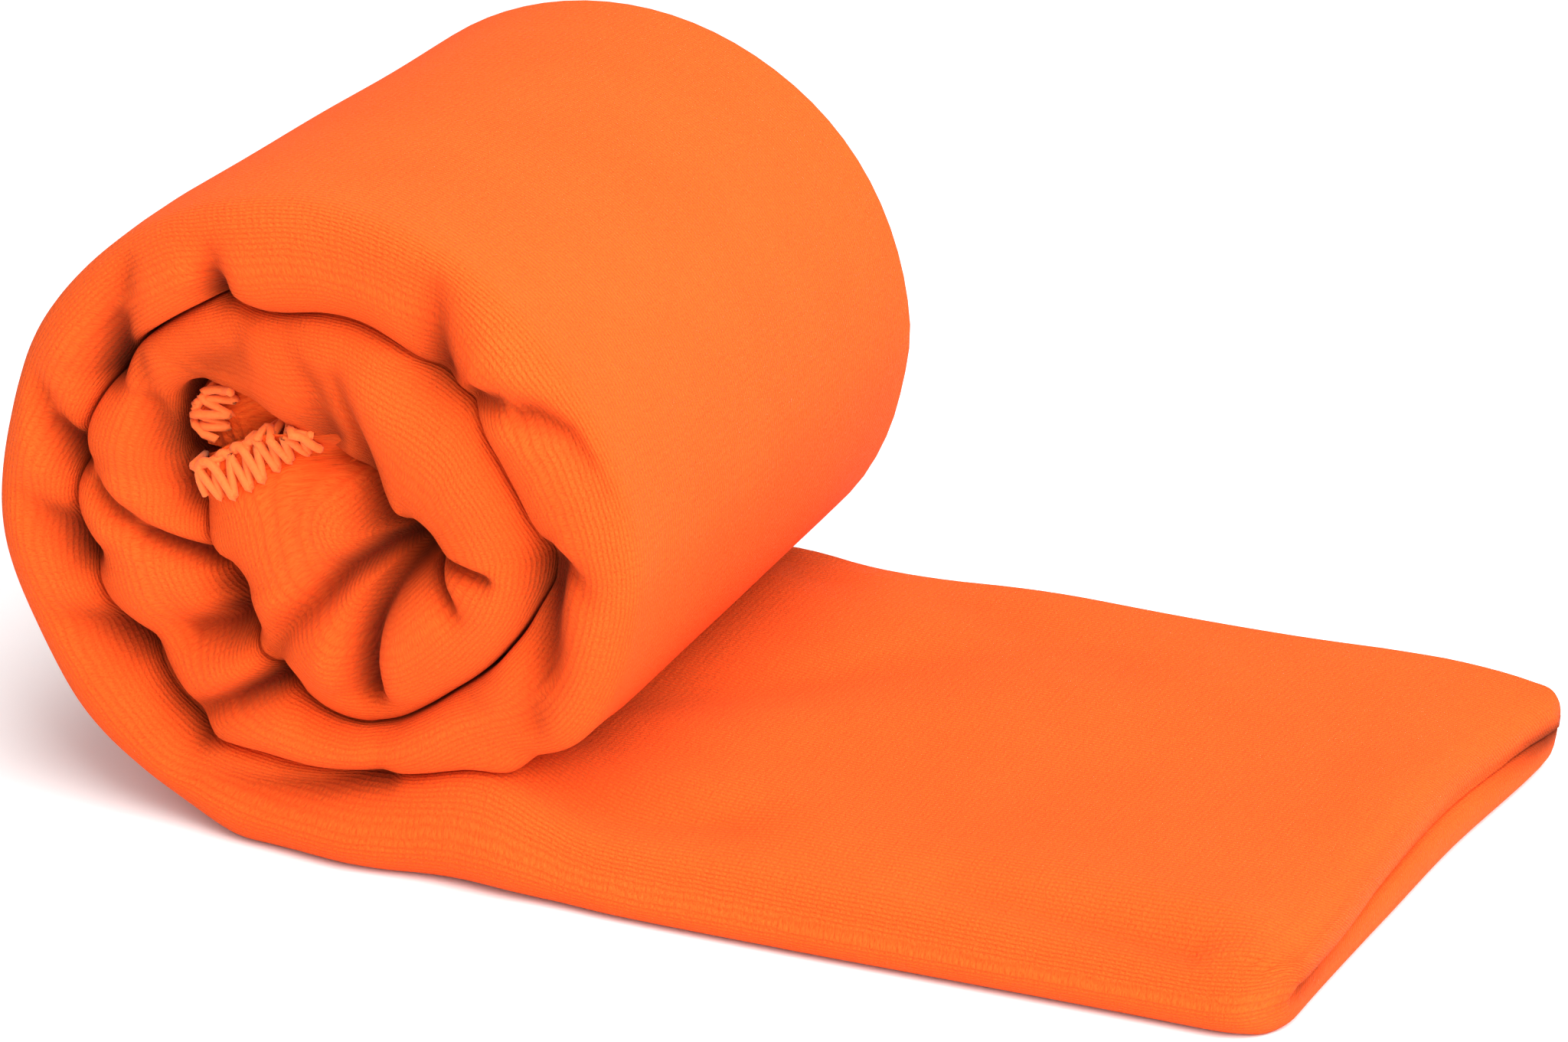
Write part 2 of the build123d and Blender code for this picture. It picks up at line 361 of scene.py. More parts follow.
# Creases of the roll's near end: depth, width, lift of the cloth on the left, lift on the right,
# strength at the first and last point, and the line in X and Z from the roll's axis and the floor.
END_CREASES = [
    # the gathered core
    (5.4, 1.5, 0.2, 1.2, 1, 0.25, [
        (12, 37), (8.5, 36.4), (5, 33.9), (3, 31.5), (0.8, 29), (-2.2, 25.8), (-4.4, 22)]),
    (6, 1.3, 1, 1.1, 0.6, 1, [(11.6, 36), (9.4, 32.4), (8, 29), (7.1, 25.5), (6.9, 20.2)]),
    (3.4, 0.8, 0.4, 0.2, 1, 0.5, [(13.6, 35.4), (15.4, 33.6), (17.4, 31.6)]),
    (2.8, 0.8, 0.4, 0.2, 0.7, 0.8, [(12.6, 36.7), (16, 36.2), (21, 35.7)]),
    (5, 1.8, 0, 1.6, 0.2, 1, [(4.4, 55), (6, 51), (6.8, 47), (7.4, 43), (8.6, 39.6), (11.6, 37.2)]),
    # the middle wrap
    (3.6, 1.3, 0.9, 0.2, 0.2, 0.8, [(-18.6, 53.4), (-17.8, 49.6), (-16.8, 46), (-15.2, 42.4), (-13.4, 39)]),
    (4, 0.9, 1, 0.3, 0.5, 1, [(-24.6, 38.7), (-22, 36.4), (-19, 34.6), (-14, 32.6), (-10.4, 30.8)]),
    (4.6, 1.3, 0.9, 1, 0.5, 1, [(-13.4, 14.2), (-10.6, 15.6), (-7, 17.6), (-3.8, 19.5)]),
    (6, 1.9, 0.4, 1.1, 0.6, 1, [(-13.6, 23.4), (-10.4, 24), (-8.2, 25.6), (-9, 28.8)]),
    (1.5, 2.4, 0.6, 0, 0.2, 1, [(-6.4, 60), (-7.6, 56), (-11, 53.4)]),
    (2.2, 2.2, 0.2, 0.6, 0.2, 1, [(-2, 59), (2, 54), (3.2, 48.4)]),
    # the outer wrap
    (4.6, 1.5, 0.9, 0.6, 0.2, 1, [(-19.4, 63.8), (-20.4, 59.6), (-21.8, 55), (-23, 50.8)]),
    (4.6, 1.3, 0.5, 1, 0.15, 1, [(-30.8, 49.8), (-30, 46.4), (-28.6, 43.4), (-27, 40.6)]),
    (3.6, 1.7, 1, 0.3, 0.1, 1, [(-33.4, 36.8), (-31, 35.4), (-28.6, 33.6), (-26, 30.4)]),
    (3.4, 1.9, 1, 0.2, 0.2, 1, [(-29, 23), (-26.4, 22.8), (-23.6, 22), (-20.6, 20.2)]),
    (3, 1.3, 0.3, 0.3, 0.7, 1, [(-20.6, 20), (-18.4, 17.2), (-15.8, 13.6), (-13.6, 11.2)]),
    (4.4, 1.3, 0.6, 0.7, 0.2, 1, [(-9.4, 66.8), (-9.2, 64.6), (-9.4, 62.2)]),
    (2.6, 2, 0.2, 1, 0.3, 1, [(15.4, 66), (15.4, 62), (15.8, 57.6)]),
    (2.4, 1.2, 1, 0.5, 1, 0.2, [(19.4, 55.4), (23, 55.3), (26.6, 54.8), (30, 53), (33.4, 49), (36, 44)]),
    (2.6, 1.4, 0.8, 0.8, 1, 0.2, [(27.4, 39), (29.6, 37.8), (32.6, 36.2)]),
    (5, 1.9, 0.3, 1.2, 1, 0.3, [(27.6, 37), (27.4, 31), (27, 26), (25.8, 20.6)]),
    (2.2, 1.5, 1, 0, 0.3, 1, [(-14, 7), (-6, 7.3), (1, 8.2), (8, 10.3)])]
# Hollows and bulges of the near end: X, Z, how far pushed in, and how wide.
END_HOLLOWS = [
    (11.4, 36.4, 5, 2), (-9.8, 25.2, 4, 2.2), (-8, 49.6, 3, 4.2), (-4, 44, 1.6, 6), (17, 46, -2.2, 7),
    (15, 27.5, -1.6, 6), (2.4, 23, -1.4, 3.6), (-4.5, 33, -0.8, 5), (-18, 28, -1, 4.5),
    (-20, 44, -1.2, 4.5), (32, 30, -1, 6), (22, 60, -0.8, 5), (26.4, 28.5, 2.2, 2.6),
    (27, 34.5, 1.4, 1.6), (-1, 56, -2, 5.5), (9, 54, -1.4, 5)]
# Places where the end's cloth is drawn sideways: X, Z, how far in X and in Z, and how wide.
END_NUDGES = [(9.6, 41.6, -2, -0.4, 4.4), (21, 12.5, 0.5, 4, 8), (-10.8, 48, -2.4, 0, 2.9)]
CREASE_DEPTH, CREASE_LIFT = 1.6, 0.9
FLANK_SHARE = 0.22  # how much of a crease's depth its wide soft flanks have
DARK_DEPTH, MOST_DARK = 2.9, 1.25  # a crease of this depth gets the full painted shade, a deeper one over a wider band
WIDEST_DARK = 2.5  # hollows narrower than this get painted shade inside
DEEPEST = 8.5  # where creases meet they go no deeper
END_DEPTH = 20.0  # how far in from the near end a crease dies out
SEEN_SHIFT = 0.5  # creases are seen a little to the right of their place and above it


def end_relief(px, y, pz):
    """How far the near end is pushed in along the roll's axis, and how dark the shade painted there is."""
    px, pz = px + SEEN_SHIFT, pz + SEEN_SHIFT
    push, shade = np.zeros(px.shape), np.zeros(px.shape)
    for depth, width, left, right, first, last, line in END_CREASES:
        gap, side, where = beside(px, pz, line)
        strength = first + (last - first) * where
        valley = FLANK_SHARE * bell(gap, 2.2 * width) + (1 - FLANK_SHARE) * bell(gap, 0.72 * width, 1.6)
        swell = bell(gap - 2.6 * width, 1.6 * width)
        inside = (where > 0.001) & (where < 0.999)
        push += CREASE_DEPTH * depth * strength * valley
        push -= CREASE_LIFT * strength * swell * np.where(inside, np.where(side > 0, left, right), 0)
        # painted shade: the cloth's colour darkens along the crease's valley
        dark = strength * bell(gap, 1.05 * width, 1.5) * min(depth / DARK_DEPTH, MOST_DARK)
        shade = np.maximum(shade, dark)
    for x, z, depth, width in END_HOLLOWS:
        hollow = bell(np.hypot(px - x, pz - z), width)
        push += depth * hollow
        # painted shade inside narrow deep hollows
        if depth > 0 and width < WIDEST_DARK:
            shade = np.maximum(shade, hollow)
    push = np.where(push > 0, DEEPEST * (1 - np.exp(-push / DEEPEST)), push)
    return push * (1 - ramp(y, 1.5, END_DEPTH)), shade * (1 - ramp(y, 3.0, END_DEPTH))


def waves(px, y, pz, size, seed, count=10):
    """Smooth uneven swells, mostly between -1 and 1, about size millimetres across."""
    draw = np.random.default_rng(seed)
    total = np.zeros(px.shape)
    for _ in range(count):
        way = draw.normal(size=3)
        way *= 2 * math.pi / size / np.linalg.norm(way) * draw.uniform(0.6, 1.2)
        total += np.sin(px * way[0] + y * way[1] + pz * way[2] + draw.uniform(0, 2 * math.pi))
    return total / math.sqrt(count)


# Folds of the tongue's top, listed like the end's creases, with the line in X and Y from the near edge.
TONGUE_CREASES = [
    (1.1, 3, 0.5, 0.3, 1, 0.1, [(20, 79), (29, 73), (38, 69)]),
    (0.9, 5, 0.3, 0.5, 1, 0.2, [(24, 33), (35, 42), (47, 53), (57, 62)]),
    (0.8, 4, 0.5, 0.2, 0.3, 0.3, [(44, 75), (56, 69), (70, 63)]),
    (1.4, 4, 0.6, 0.5, 0.4, 0.5, [(-4, 1.5), (12, 3), (28, 5), (44, 10)]),
    (1.2, 3, 0.6, 0.2, 0.2, 0.8, [(70, 6), (84, 4.5), (96, 3.5)])]
TONGUE_CREASING, FOLD_SHADE = 1.5, 0.3  # how deep these folds are, and how dark the shade painted into them is


def tongue_relief(px, y):
    """How far the tongue's top sinks, and how dark the shade painted into its folds is."""
    sink, shade = np.zeros(px.shape), np.zeros(px.shape)
    for depth, width, left, right, first, last, line in TONGUE_CREASES:
        gap, side, where = beside(px, y, line)
        strength = first + (last - first) * where
        sink += depth * strength * bell(gap, width, 1.6)
        sink -= strength * bell(gap - 2 * width, 1.4 * width) * np.where(side > 0, left, right)
        shade = np.maximum(shade, FOLD_SHADE * strength * bell(gap, 0.7 * width))
    return sink, shade


NEAR_TAPER, FAR_TAPER, END_TAPER, CORNER_TAPER = 0.32, 0.08, 0.24, 0.12  # how thin the tongue's rims are
FAR_SAG = 0.18  # how much thinner still the tongue's far rim is beside the roll
NEAR_FLARE = 2.5  # how far the near edge spreads where it lies on the floor
RIM_DRAWN_IN = 0.9  # the near rim's upper part is rounder
TONGUE_WAVES, END_WAVES, FAR_WAVES = 0.35, 0.5, 0.8  # how far uneven swells move the cloth
OUTER_SWELL, INNER_SWELL, FINE_SWELL = 0.1, 0.3, 0.16  # of the roll's wraps


def fading(gap, reach):
    """1 where the gap is 0, down to 0 at the reach, steeper at first."""
    return np.clip(1 - gap / reach, 0, 1) ** 2


def soften_tongue(px, y, pz):
    """Thins the tongue's rims and creases its top. Gives Y, Z and the shade painted into the folds."""
    on_tongue = ramp(px, GATHER_X, 34.0) * (1 - ramp(pz, 10.5, 12.5))
    near, far, tip = fading(y, 15.0), fading(STRIP_WIDTH - y, 16.0), fading(TONGUE_END - px, 12.0)
    corner = np.clip(1 - np.hypot(TONGUE_END + 4.0 - px, STRIP_WIDTH - y) / 22.0, 0, 1)
    thin = 1 - on_tongue * (NEAR_TAPER * near + FAR_TAPER * far + END_TAPER * tip) * (1 - corner)
    thin = thin - on_tongue * CORNER_TAPER * corner
    thin = thin - on_tongue * FAR_SAG * far * (1 - ramp(px, 30.0, 62.0))
    flare = near * ramp(px, -16.0, 6.0) * (1 - 0.55 * ramp(px, 40.0, 95.0)) * np.clip(1 - pz / 7.0, 0, 1)
    y = y - NEAR_FLARE * flare
    pz = pz * thin
    on_top = on_tongue * np.clip(pz / THICKNESS, 0, 1)
    sink, shade = tongue_relief(px, y)
    pz = pz - TONGUE_CREASING * sink * on_top
    pz = pz + TONGUE_WAVES * waves(px, y, pz * 0, 34.0, 3) * on_top
    return y, pz, shade * on_top


def swell_wraps(px, y, pz, rolled):
    """Draws the near rim in and gives the wraps uneven swells. Gives X and Z."""
    radius = np.hypot(px, pz - GATHER_Z) + 1e-6
    way_x, way_z, upper = px / radius, (pz - GATHER_Z) / radius, ramp(pz - GATHER_Z, -5.0, 22.0)
    draw_in = RIM_DRAWN_IN * upper * rolled * fading(y, 16.0) * (radius / ROLL_RADIUS) ** 2
    px, pz = px - draw_in * way_x, pz - draw_in * way_z
    inner = 1 - ramp(np.hypot(px, pz - ROLL_RADIUS), 24.0, 32.0)
    swell = (OUTER_SWELL + INNER_SWELL * inner) * waves(px, y, pz, 30.0, 11)
    swell += FINE_SWELL * inner * waves(px, y, pz, 11.0, 12)
    swell *= rolled * ramp(pz, 0.0, 14.0) * ramp(radius, 4.0, 20.0)
    return px + way_x * swell, pz + way_z * swell


def soften(px, y, pz):
    """Gives the neatly folded and rolled strip the lie of real cloth, and gives the shade painted into its
    creases.
    """
    y, pz, fold_shade = soften_tongue(px, y, pz)
    rolled = 1 - ramp(px, 20.0, 36.0) * (1 - ramp(pz, 14.0, 20.0))
    px, pz = swell_wraps(px, y, pz, rolled)
    for x, z, shift_x, shift_z, width in END_NUDGES:
        share = bell(np.hypot(px - x, pz - z), width) * (1 - ramp(y, 4.0, 20.0))
        px, pz = px + shift_x * share, pz + shift_z * share
    push, shade = end_relief(px, y, pz)
    outside = ramp(np.hypot(px, pz - ROLL_RADIUS), ROLL_RADIUS - 4.5, ROLL_RADIUS - 1.0)
    off_tongue = 1 - ramp(px, 36.0, 44.0)
    push, shade = push * (1 - 0.85 * outside) * off_tongue, shade * (1 - outside) * off_tongue
    push = push + END_WAVES * waves(px, y * 0.3, pz, 15.0, 5) * (1 - ramp(y, 4.0, 22.0)) * rolled
    far_end = ramp(y, STRIP_WIDTH - 18.0, STRIP_WIDTH - 2.0) * (1 - outside) * rolled
    push = push + FAR_WAVES * waves(px, y * 0, pz, 17.0, 8) * far_end
    return np.stack([px, y + push, pz.clip(0.0)], -1), np.clip(np.maximum(shade, fold_shade), 0, 1)


# ---------------------------------------------------------------------------
# The whole way of a point of the flat towel
HIDDEN_INSET = 1.1  # at the near fold the plies inside lie this much further in
TUCK_UNDER, TUCK_TOP = 4.5, 3.5  # how far the core's end dives in under the next wrap, and under the top
HEM_SWELL = 2.36  # how much the half behind the hem that shows spreads past it, to fill the strip
FAR_CORNER, NEAR_CORNER = 11.0, 7.0  # radii of the tongue's corners seen from above
CORNER_CLOSED = 0.6  # how nearly the two lips close to one round end at the far corner
TONGUE_SLANT = 13.6  # the end's far corner reaches this much further than its near one
END_HOLLOWED = 1.2  # and its middle lies this much further in
BETWEEN_SHADE, BESIDE_SHADE, MOUTH_SHADE = 0.75, 0.42, 0.95  # how dark it is where little light reaches


def swell_past_hem(place, length, depth, behind, squareness):
    """Depth once the half behind the hem that shows has spread past it, and how much it has."""
    swollen = 0.5 - (0.5 - depth) * HEM_SWELL
    half_thickness, reach = strip_thickness(length) / 2, edge_reach(length)
    through_depth = fold_in_two_lengthwise(place, swollen, half_thickness, reach, squareness)[1]
    past_hem = core_turn(length, through_depth, behind) - HEM_TURN(through_depth)
    swell = np.where(behind & (length > STRIP_LENGTH / 2), ramp(past_hem, -0.5, 2.5), 0)
    return depth + (swollen - depth) * swell, swell


def tucked_in(px, y, pz, length, through_depth, swell):
    """How far the core's end dives in along the roll's axis."""
    share = end_share(length)
    under_wrap = ramp(share, 0.7, 0.98) * ramp(through_depth, 0.4, 0.55)
    under_top = ramp(px, 0.5, 4.0) * ramp(pz, 43.0, 46.0) * (1 - ramp(px, 9.0, 13.0)) * ramp(share, 0.7, 0.95)
    return TUCK_UNDER * np.maximum(under_wrap, 0.5 * swell) + TUCK_TOP * under_top


def shape_tongue_end(px, y, through_depth, straight):
    """Rounds the tongue's corners, closes its far one and slants its end."""
    px, y = round_corner(px, y, TONGUE_END, STRIP_WIDTH, 1, FAR_CORNER)
    px, y = round_corner(px, y, TONGUE_END, 0.0, -1, NEAR_CORNER)
    at_end = ramp(px, 40.0, TONGUE_END) * straight
    closed = ramp(y, STRIP_WIDTH - 17.0, STRIP_WIDTH - 4.0) * ramp(px, TONGUE_END - 22.0, TONGUE_END - 7.0)
    px = px + CORNER_CLOSED * closed * corner_fill(through_depth) * straight
    hollow = END_HOLLOWED * np.sin(math.pi * y / STRIP_WIDTH).clip(0)
    return px + (TONGUE_SLANT * (y / STRIP_WIDTH - 0.5) - hollow) * at_end, y


def hidden_from_light(px, y, length, through_depth, turn):
    """How dark the cloth is between the wraps, beside the roll and in the mouth of the tongue's end."""
    between_wraps = (length > STRAIGHT) & ((through_depth > 0.5) | (turn > 360))
    deep = BETWEEN_SHADE * ramp(y, 2.4, 6.4) * (1 - ramp(y, 10.0, 14.0)) * between_wraps
    on_top = (length < STRAIGHT) * (through_depth > 0.6)
    beside_roll = BESIDE_SHADE * (1 - ramp(px, 22.0, 46.0)) * on_top * ramp(y, 0.0, 9.0)
    corners = 0.8 * bell(y - 8.0, 6.0) + bell(y - 75.0, 9.0)
    in_mouth = bell(through_depth - 0.5, 0.17) * ramp(px, TONGUE_END - 10.0, TONGUE_END - 5.0)
    mouth = MOUTH_SHADE * corners * in_mouth * (1 - ramp(y, STRIP_WIDTH - 3.0, STRIP_WIDTH - 0.5))
    return np.maximum.reduce([deep, beside_roll, mouth])


def place_cloth(across, along):
    """Where a point of the flat towel lies, in millimetres from the roll's axis, near edge and floor,
    and how dark the shade painted into its colour there is."""
    place, rank = fold_in_three(across)
    length, depth = fold_in_two_crosswise(along, rank)
    behind = along > TOWEL_LENGTH / 2
    squareness = SQUARENESS + (CORE_SQUARENESS - SQUARENESS) * ramp(end_share(length), 0.1, 0.8)
    depth, swell = swell_past_hem(place, length, depth, behind, squareness)
    half_thickness, reach = strip_thickness(length) / 2, edge_reach(length)
    y, through_depth = fold_in_two_lengthwise(place, depth, half_thickness, reach, squareness)
    px, pz = lay(length, through_depth, behind, y)
    inset = HIDDEN_INSET * ramp(depth, 0.0, 0.09) * (1 - swell)
    near_half = 1 - ramp(y, 25.0, 55.0)
    y = y + near_half * (tucked_in(px, y, pz, length, through_depth, swell) + inset)
    px, y = shape_tongue_end(px, y, through_depth, length < STRAIGHT)
    lying, shade = soften(px, y, pz)
    turn = core_turn(length, through_depth, behind)
    return lying, np.maximum(shade, hidden_from_light(px, y, length, through_depth, turn))


# ---------------------------------------------------------------------------
# The cloth's mesh: fine where the near fold shows, coarser where plies lie hidden


def mesh_lines(stretches, end):
    """Places of the mesh's lines, from each stretch's start and step."""
    stops = [start for start, step in stretches[1:]] + [end]
    places = []
    for (start, step), stop in zip(stretches, stops):
        count = max(1, round((stop - start) / step))
        places.append(np.linspace(start, stop, count + 1)[:-1])
    return np.concatenate(places + [[end]])


NEAR_FOLD = 1.5 * PANEL  # across the flat towel
FOLD_ZONE = 1.5
NEAR_ZONE = 13.0  # this far each side of the near fold the cloth shows on the roll's end
WIDE_ZONE = 30.0
FAR_ZONE = 9.0  # each side of where the hidden plies pass the near fold
across_lines = mesh_lines([
    (0, 9), (0.5 * PANEL - FAR_ZONE, 2.2), (0.5 * PANEL + FAR_ZONE, 9),
    (PANEL - FOLD_ZONE, 0.5), (PANEL + FOLD_ZONE, 3.6),
    (NEAR_FOLD - WIDE_ZONE, 2.2), (NEAR_FOLD - NEAR_ZONE, 1.0), (NEAR_FOLD + NEAR_ZONE, 2.2),
    (NEAR_FOLD + WIDE_ZONE, 3.6), (2 * PANEL - FOLD_ZONE, 0.5), (2 * PANEL + FOLD_ZONE, 9),
    (2.5 * PANEL - FAR_ZONE, 2.2), (2.5 * PANEL + FAR_ZONE, 9)], TOWEL_WIDTH)
along_lines = mesh_lines([
    (0, 2.3), (STRIP_LENGTH - 8, 0.7), (STRIP_LENGTH + 8, 3.6), (TOWEL_LENGTH - 40, 1.5)], TOWEL_LENGTH)


def in_frame(p):
    """Millimetres from the roll's axis, near edge and floor to the CAD frame's metres."""
    return (p + np.array([ROLL_X, NEAR_Y, 0.0])) * MM


def flat_grid(across, along):
    """The flat towel as a grid of faces, across in X and along in Y, in millimetres."""
    rows, columns = len(across), len(along)
    grid_across, grid_along = np.meshgrid(across, along, indexing="ij")
    flat = np.stack([grid_across, grid_along, np.zeros_like(grid_across)], -1)
    i = np.arange(rows * columns).reshape(rows, columns)
    quads = np.stack([i[:-1, :-1], i[1:, :-1], i[1:, 1:], i[:-1, 1:]], -1).reshape(-1, 4)
    mesh = bpy.data.meshes.new("towel_cloth")
    mesh.from_pydata(flat.reshape(-1, 3).tolist(), [], quads.tolist())
    return mesh


def refine(mesh):
    """Divides the faces that show on the roll's end: first along the strip only, then both ways."""
    grid = bmesh.new()
    grid.from_mesh(mesh)

    def shows(edge):
        places = [vertex.co for vertex in edge.verts]
        return all(abs(co.x - NEAR_FOLD) < NEAR_ZONE - 0.4 and co.y < STRIP_LENGTH - 8 for co in places)

    def lengthways(edge):
        return abs(edge.verts[0].co.x - edge.verts[1].co.x) < 0.1

    chosen = [edge for edge in grid.edges if shows(edge) and lengthways(edge)]
    bmesh.ops.subdivide_edges(grid, edges=chosen, cuts=1, use_grid_fill=True)
    chosen = [edge for edge in grid.edges if shows(edge)]
    bmesh.ops.subdivide_edges(grid, edges=chosen, cuts=1, use_grid_fill=True)
    grid.to_mesh(mesh)
    grid.free()


def vertex_places(mesh):
    places = np.empty(len(mesh.vertices) * 3)
    mesh.vertices.foreach_get("co", places)
    return places.reshape(-1, 3)


def smoothed(mesh, flat, points, rounds):
    """Evens out the creases a little where the mesh is fine."""
    ends = np.empty(len(mesh.edges) * 2, int)
    mesh.edges.foreach_get("vertices", ends)
    first, second = ends.reshape(-1, 2).T
    fine = np.abs(flat[:, 0] - NEAR_FOLD) < NEAR_ZONE - 2
    fine &= (flat[:, 1] < STRIP_LENGTH - 60) & (flat[:, 1] > 1)
    count = np.bincount(first, minlength=len(points)) + np.bincount(second, minlength=len(points))
    for _ in range(rounds):
        total = np.zeros_like(points)
        np.add.at(total, first, points[second])
        np.add.at(total, second, points[first])
        mean = total / count[:, None]
        points = np.where(fine[:, None], points + 0.5 * (mean - points), points)
    return points


cloth_mesh = flat_grid(across_lines, along_lines)
refine(cloth_mesh)
flat_places = vertex_places(cloth_mesh)
lying, crease_shade = place_cloth(flat_places[:, 0], flat_places[:, 1])
lying = smoothed(cloth_mesh, flat_places, lying, 3)
cloth_mesh.vertices.foreach_set("co", in_frame(lying).ravel())
corner_vertices = np.empty(len(cloth_mesh.loops), int)
cloth_mesh.loops.foreach_get("vertex_index", corner_vertices)
flat_uv = cloth_mesh.uv_layers.new(name="flat_cloth")
flat_uv.uv.foreach_set("vector", (flat_places[corner_vertices, :2] * MM).ravel())
# painted shade, kept on the mesh for the material: darker colour in creases, between the wraps, beside the
# roll and in the tongue's mouth
crease_layer = cloth_mesh.attributes.new("painted_shade", "FLOAT", "POINT")
crease_layer.data.foreach_set("value", crease_shade)
cloth_mesh.shade_smooth()

cloth = bpy.data.objects.new("towel_cloth", cloth_mesh)
bpy.context.scene.collection.objects.link(cloth)
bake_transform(cloth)
hem_nodes = ("end_hem_outer", "end_hem_inner")
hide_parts(*[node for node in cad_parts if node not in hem_nodes])

# ---------------------------------------------------------------------------
# The overlocked hems at the two ends of the towel: looped thread over the cut edge
STITCH, SHOWN_STITCH = 3.1, 3.9  # from one loop to the next; where the hem shows it is drawn out
BAND = 4.6  # how far the loops reach in from the edge
BAND_STEPS = 24
MOST_SHEAR = 3.0
THREAD_RADIUS, STRAIGHT_RADIUS = 0.48, 0.384
THREAD_SIDES = 7
LOOP_STEPS = 16
LINE_STEPS = 80  # of the lines that the shown hem lies between
IN_FRONT = -30.0  # the shown hem is laid onto the cloth from here along Y
HIDDEN_FROM = 17.0  # this far from the near fold the hem no longer shows


def cloth_normal(across, along):
    """Unit normal of the lying cloth."""
    here = 0.15
    by_across = place_cloth(across + here, along)[0] - place_cloth(across - here, along)[0]
    by_along = place_cloth(across, along + here)[0] - place_cloth(across, along - here)[0]
    normal = np.cross(by_across, by_along)
    return normal / (np.linalg.norm(normal, axis=-1, keepdims=True) + 1e-9)


def tube(points, radius):
    """Rings of vertices round a line of points, and the faces between them."""
    way = np.gradient(points, axis=0)
    way /= np.linalg.norm(way, axis=1, keepdims=True) + 1e-9
    aside = np.cross(way, [0.31, 0.23, 0.92])
    aside /= np.linalg.norm(aside, axis=1, keepdims=True) + 1e-9
    other = np.cross(way, aside)
    turn = np.linspace(0, 2 * math.pi, THREAD_SIDES, endpoint=False)
    around = aside[:, None] * np.cos(turn)[:, None] + other[:, None] * np.sin(turn)[:, None]
    rings = points[:, None] + radius * around
    count = len(points)
    i = np.arange(count * THREAD_SIDES).reshape(count, THREAD_SIDES)
    quads = np.stack([i[:-1], np.roll(i[:-1], -1, 1), np.roll(i[1:], -1, 1), i[1:]], -1)
    caps = [i[0][::-1].tolist(), i[-1].tolist()]
    return rings.reshape(-1, 3), quads.reshape(-1, 4).tolist() + caps


def joined(tubes):
    """The vertices and faces of several tubes as one."""
    vertices, faces, offset = [], [], 0
    for rings, quads in tubes:
        vertices.append(rings)
        faces += [[corner + offset for corner in face] for face in quads]
        offset += len(rings)
    return np.concatenate(vertices), faces


def square_band(place, edge, inwards):
    """Across and along of rows of points that run in from an edge, square to it as the cloth lies."""
    across, along = place.astype(float), np.full(place.shape, float(edge))
    rows = [(across, along)]
    here, step = 0.1, BAND / BAND_STEPS
    for _ in range(BAND_STEPS):
        by_across = (place_cloth(across + here, along)[0] - place_cloth(across - here, along)[0]) / (2 * here)
        inner, outer = along + inwards * here, along
        by_along = (place_cloth(across, inner)[0] - place_cloth(across, outer)[0]) / (inwards * here)
        across_sq, along_sq = (by_across**2).sum(-1), (by_along**2).sum(-1)
        both = (by_across * by_along).sum(-1)
        shear = np.clip(both / (across_sq + 1e-9), -MOST_SHEAR, MOST_SHEAR)
        stretch = np.sqrt(np.clip(along_sq - 2 * shear * both + shear**2 * across_sq, 0.04, 25))
        along = along + inwards * step / stretch
        across = across - shear * inwards * step / stretch
        rows.append((across, along))
    return np.array([row[0] for row in rows]), np.array([row[1] for row in rows])


def thread_paths(t, uneven, lifts, straight, turned, roundness, sway, sways):
    """Reach into the band, shift along it and height of two looping threads and then a straight one."""
    for phase, lift in zip((0.0, math.pi), lifts):
        angle = 2 * math.pi * t + phase
        swing = np.cos(angle)
        reach = 0.5 * (1 + turned * np.sign(swing) * np.abs(swing) ** roundness) + uneven
        yield reach, sway * np.sin(sways * angle) + uneven, lift + 0.15 * np.sin(angle)
    yield straight + uneven, 0, np.full(t.shape, lifts[-1])


def hidden_band(start, end, edge, inwards, draw):
    """Two looping threads and a straight one along a stretch of an edge of the towel."""
    place = np.linspace(start, end, 400)
    across_rows, along_rows = square_band(place, edge, inwards)
    middle = place_cloth(across_rows[BAND_STEPS // 2], along_rows[BAND_STEPS // 2])[0]
    run = np.concatenate([[0], np.cumsum(np.linalg.norm(np.diff(middle, axis=0), axis=1))])
    loops = int(run[-1] / STITCH)
    t = np.linspace(0, loops, loops * LOOP_STEPS + 1)
    centre = np.array((start + end) / 2), np.array(edge + inwards * BAND / 2)
    outward = -np.sign(cloth_normal(*centre)[1])
    uneven = np.interp(t, np.arange(loops + 1), draw.normal(0, 0.04, loops + 1))

    def in_band(rows, row, column):
        """A value of a grid of rows between its rows and columns."""
        i = np.clip(row.astype(int), 0, BAND_STEPS - 1)
        j = np.clip(column.astype(int), 0, len(place) - 2)
        u, v = row - i, column - j
        low = rows[i, j] * (1 - v) + rows[i, j + 1] * v
        return low * (1 - u) + (rows[i + 1, j] * (1 - v) + rows[i + 1, j + 1] * v) * u

    tubes = []
    for reach, sideways, height in thread_paths(t, uneven, (0.3, 0.5, 0.25), 0.86, 1, 0.7, 0.16, 2):
        row = np.clip(reach, 0, 1) * (BAND_STEPS - 0.01)
        column = np.interp((t + sideways) * STITCH, run, np.arange(len(place)))
        across = in_band(across_rows, row, column)
        along = np.clip(in_band(along_rows, row, column), 0.0, TOWEL_LENGTH)
        line = place_cloth(across, along)[0] + cloth_normal(across, along) * outward * height[:, None]
        tubes.append(tube(line, THREAD_RADIUS if len(tubes) < 2 else STRAIGHT_RADIUS))
    return joined(tubes)


